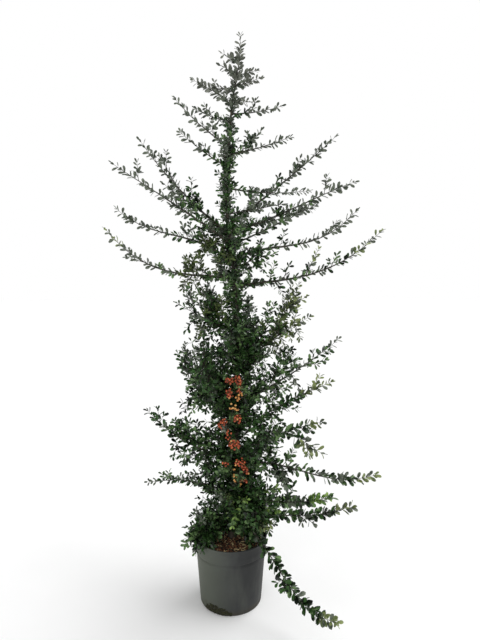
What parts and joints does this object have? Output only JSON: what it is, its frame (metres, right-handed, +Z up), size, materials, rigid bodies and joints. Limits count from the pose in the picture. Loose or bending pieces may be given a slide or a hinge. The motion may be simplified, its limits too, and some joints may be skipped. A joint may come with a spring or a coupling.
{
  "type": "potted firethorn shrub",
  "caption": "Slender evergreen shrub with an upright trunk, long arching leafy sprays to all sides and orange-red berries low in front, growing in a round tapered nursery pot.",
  "frame": {"origin": "the middle of the pot's flat underside, where it stands on the ground", "axes": "+Z up along the trunk, +X to the right and +Y to the back, with the berries towards -Y"},
  "size_m": [1.1173, 0.7174, 2.2739],
  "materials": {
    "pot": "satin",
    "soil": "matte",
    "bark": "matte",
    "foliage": "satin"
  },
  "bodies": {
    "root": {"bough_left_12": "bark", "bough_left_4": "bark", "bough_left_5": "bark", "bough_left_7": "bark", "bough_left_8": "bark", "bough_right_10": "bark", "bough_right_11": "bark", "bough_right_14": "bark", "bough_right_4": "bark", "bough_right_5": "bark", "bough_right_7": "bark", "bough_right_9": "bark", "foliage_back_1": "foliage", "foliage_back_2": "foliage", "foliage_back_3": "foliage", "foliage_back_4": "foliage", "foliage_back_5": "foliage", "foliage_back_6": "foliage", "foliage_front_1": "foliage", "foliage_front_2": "foliage", "foliage_front_3": "foliage", "foliage_front_4": "foliage", "foliage_front_5": "foliage", "foliage_front_6": "foliage", "foliage_front_7": "foliage", "foliage_leader": "foliage", "foliage_left_1": "foliage", "foliage_left_10": "foliage", "foliage_left_11": "foliage", "foliage_left_12": "foliage", "foliage_left_13": "foliage", "foliage_left_14": "foliage", "foliage_left_2": "foliage", "foliage_left_3": "foliage", "foliage_left_4": "foliage", "foliage_left_5": "foliage", "foliage_left_6": "foliage", "foliage_left_7": "foliage", "foliage_left_8": "foliage", "foliage_left_9": "foliage", "foliage_right_1": "foliage", "foliage_right_10": "foliage", "foliage_right_11": "foliage", "foliage_right_12": "foliage", "foliage_right_13": "foliage", "foliage_right_14": "foliage", "foliage_right_15": "foliage", "foliage_right_16": "foliage", "foliage_right_17": "foliage", "foliage_right_2": "foliage", "foliage_right_3": "foliage", "foliage_right_4": "foliage", "foliage_right_5": "foliage", "foliage_right_6": "foliage", "foliage_right_7": "foliage", "foliage_right_8": "foliage", "foliage_right_9": "foliage", "pot": "pot", "soil": "soil", "trunk": "bark"}
  },
  "joints": []
}
